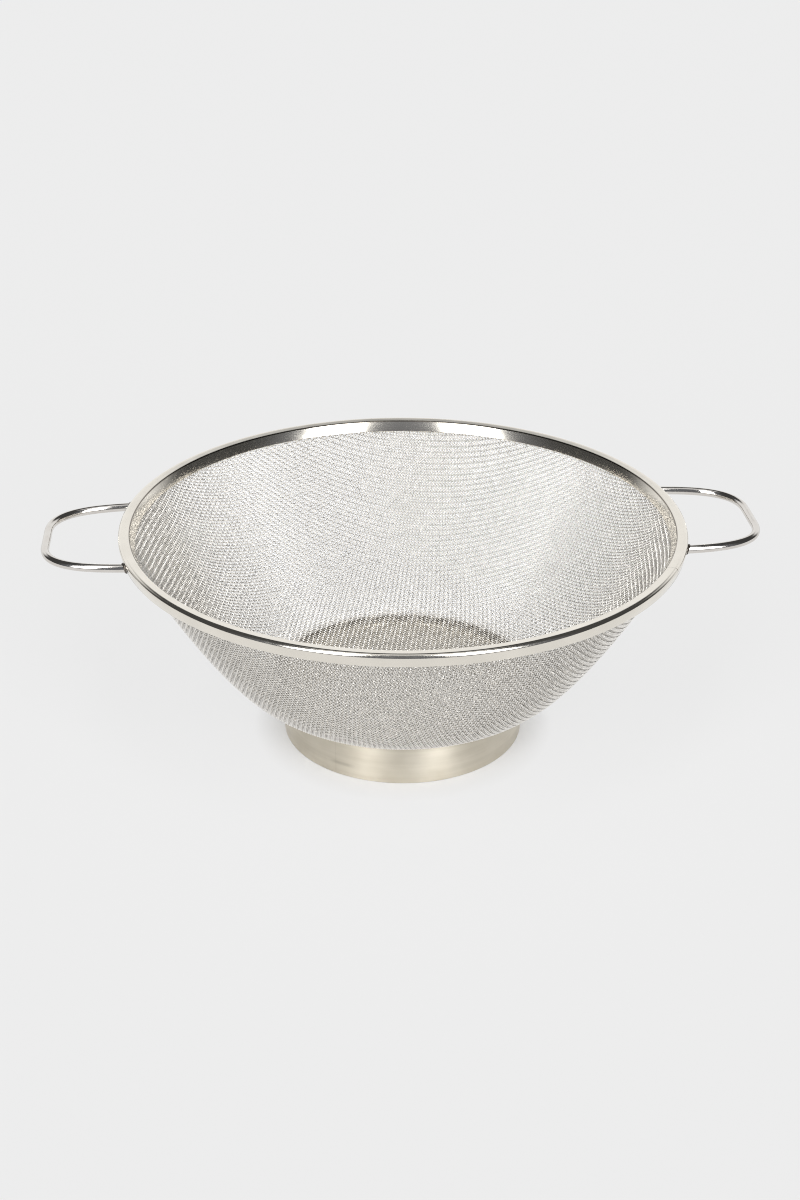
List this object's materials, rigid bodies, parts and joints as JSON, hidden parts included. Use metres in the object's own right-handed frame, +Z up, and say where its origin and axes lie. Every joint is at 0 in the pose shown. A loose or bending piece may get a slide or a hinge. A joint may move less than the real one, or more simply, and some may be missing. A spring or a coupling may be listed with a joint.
{
  "type": "wire mesh strainer",
  "caption": "Footed stainless strainer: woven wire bowl clamped in a folded rim band, with looped wire handles and a drawn foot ring.",
  "frame": {"origin": "on the table, under the middle of the foot ring", "axes": "+X through the right handle, +Y to the back, +Z up through the mouth"},
  "size_m": [0.3286, 0.2598, 0.1067],
  "materials": {
    "wire_cloth": "bright drawn wire, plain weave",
    "polished_band": "polished stainless strip",
    "core_wire": "drawn wire, hidden",
    "satin_foot": "satin, drawn round the ring",
    "polished_rod": "polished stainless rod",
    "weld_metal": "dull spot weld"
  },
  "bodies": {
    "root": {"mesh_bowl": "wire_cloth", "rim_band": "polished_band", "rim_core_wire": "core_wire", "foot_ring": "satin_foot", "right_handle": "polished_rod", "right_handle_front_weld": "weld_metal", "right_handle_back_weld": "weld_metal", "left_handle": "polished_rod", "left_handle_front_weld": "weld_metal", "left_handle_back_weld": "weld_metal"}
  },
  "joints": []
}
